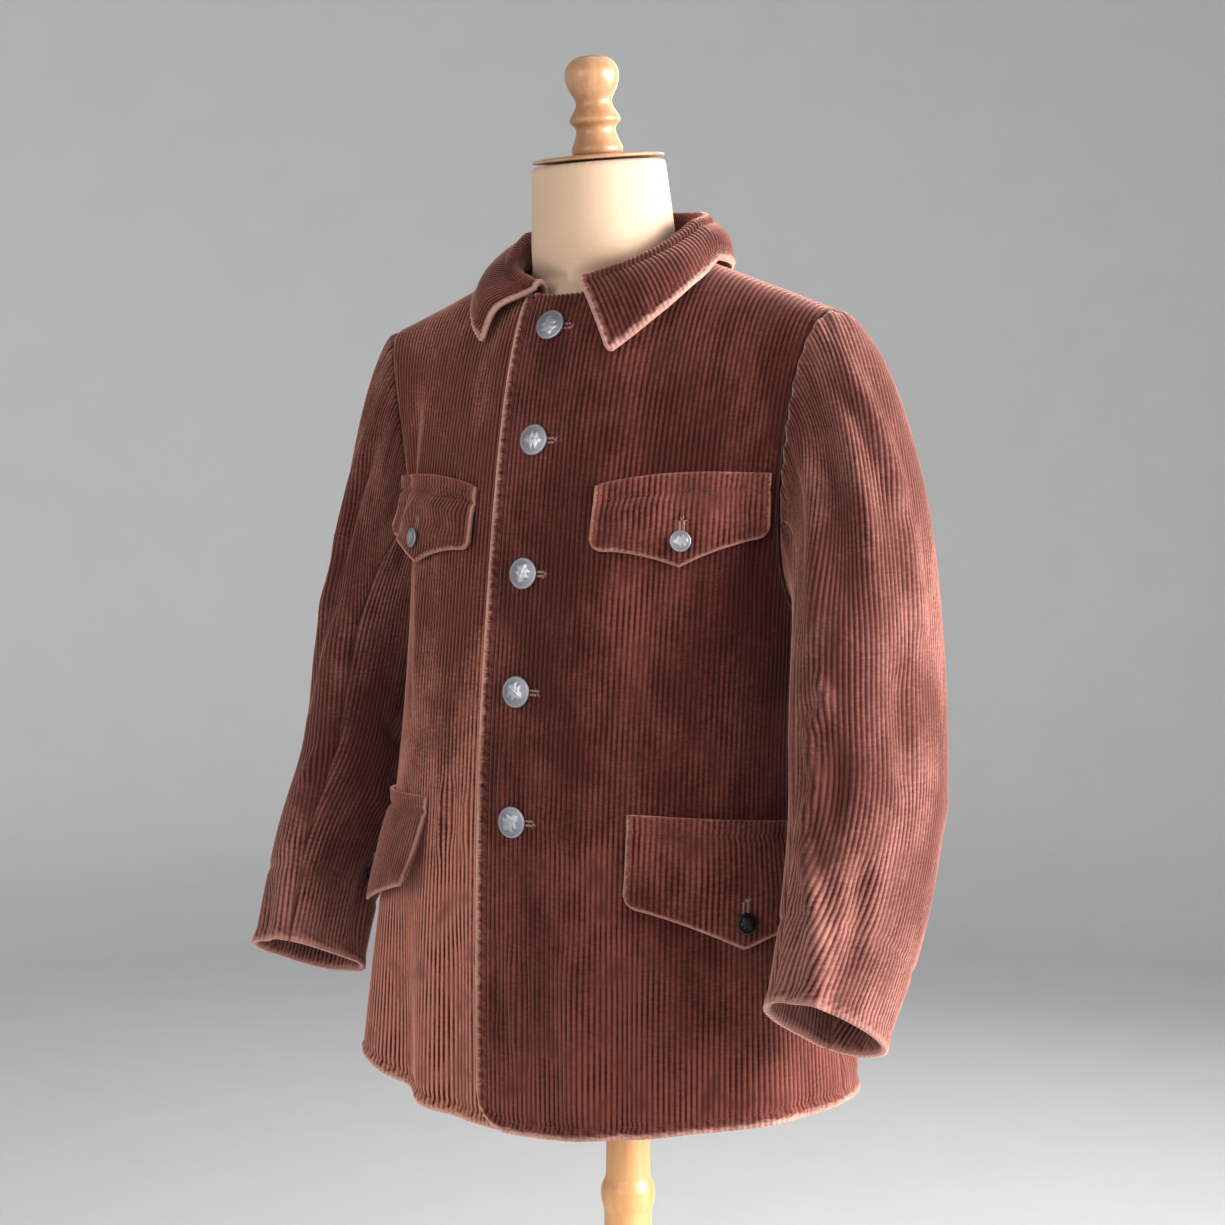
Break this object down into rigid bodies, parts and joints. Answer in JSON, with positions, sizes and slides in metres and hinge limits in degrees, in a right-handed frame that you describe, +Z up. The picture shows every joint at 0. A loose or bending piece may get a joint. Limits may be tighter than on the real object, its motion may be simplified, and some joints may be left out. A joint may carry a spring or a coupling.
{
  "type": "corduroy sack jacket on a dress form",
  "caption": "Straight-cut wide-wale corduroy jacket, buttoned to the neck with flapped pockets, worn on a limbless linen dress form with a turned wooden stand.",
  "frame": {"origin": "centre of the stand's flat foot, on the floor", "axes": "+Z up along the pole, -Y the way the jacket faces, +X the wearer's left"},
  "size_m": [0.5918, 0.3863, 1.5995],
  "materials": {
    "corduroy": "wide-wale cotton pile, matt, worn pale along the edges",
    "pewter": "dull cast grey metal with a raised pattern",
    "dark_pewter": "darkened cast metal",
    "linen": "plain-woven cream linen stretched over padding",
    "turned_wood": "lathe-turned, satin varnish"
  },
  "bodies": {
    "root": {"front_left": "corduroy", "front_right": "corduroy", "back_left": "corduroy", "back_right": "corduroy", "sleeve_left_top": "corduroy", "sleeve_left_under": "corduroy", "sleeve_right_top": "corduroy", "sleeve_right_under": "corduroy", "collar": "corduroy", "chest_flap_left": "corduroy", "chest_flap_right": "corduroy", "hip_flap_left": "corduroy", "hip_flap_right": "corduroy", "front_button_1": "pewter", "front_button_2": "pewter", "front_button_3": "pewter", "front_button_4": "pewter", "front_button_5": "pewter", "chest_button_left": "pewter", "chest_button_right": "pewter", "hip_button_left": "dark_pewter", "hip_button_right": "dark_pewter", "form_bust": "linen", "neck_cap": "turned_wood", "knob": "turned_wood", "pole": "turned_wood", "base": "turned_wood"}
  },
  "joints": []
}
